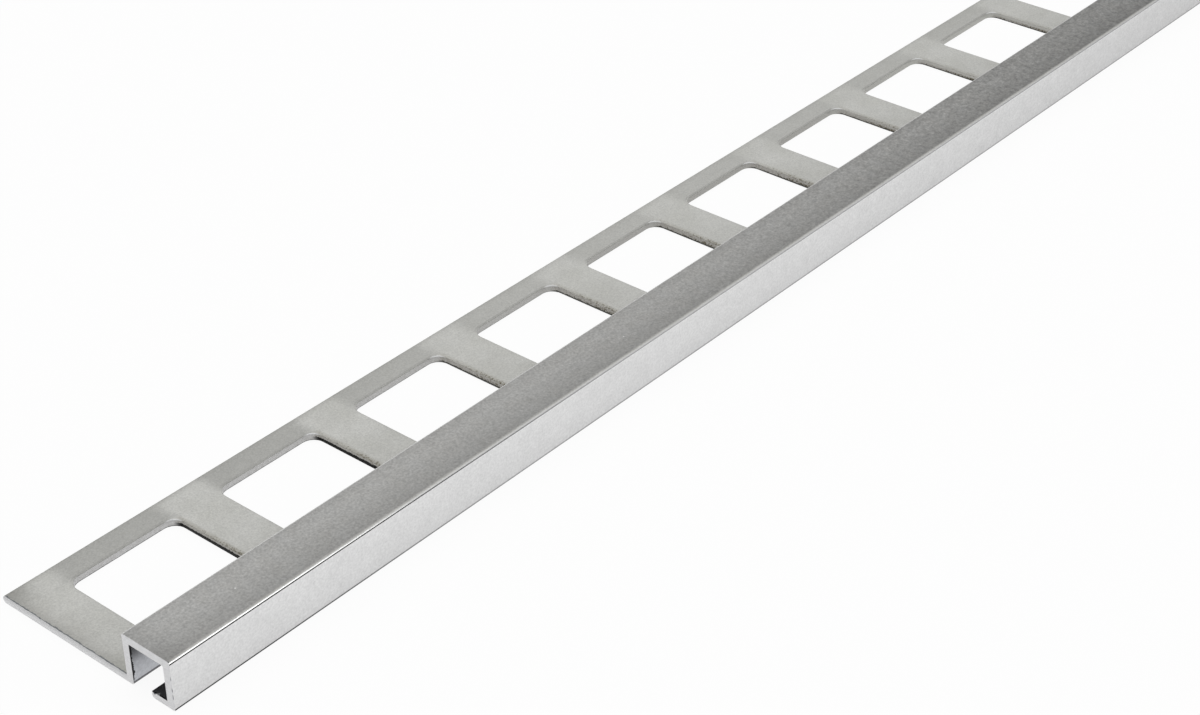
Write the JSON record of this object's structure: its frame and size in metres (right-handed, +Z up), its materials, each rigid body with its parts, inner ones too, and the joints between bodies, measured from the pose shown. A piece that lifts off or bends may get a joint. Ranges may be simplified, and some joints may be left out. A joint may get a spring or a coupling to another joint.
{
  "type": "tile edge trim",
  "caption": "Straight length of extruded tile edge trim: square box edge with an inward lip and an open channel, and a flat anchoring leg punched with rectangular windows.",
  "frame": {"origin": "middle of the trim's length and of its overall width, on the underside of the leg and lip", "axes": "+X along the length, +Y from the visible outer face towards the leg's free edge, +Z up out of the top face"},
  "size_m": [1, 0.034, 0.008],
  "materials": {
    "edge_trim_profile": "satin mill finish, sawn ends, punched windows"
  },
  "bodies": {
    "root": {"edge_trim_profile": "edge_trim_profile"}
  },
  "joints": []
}
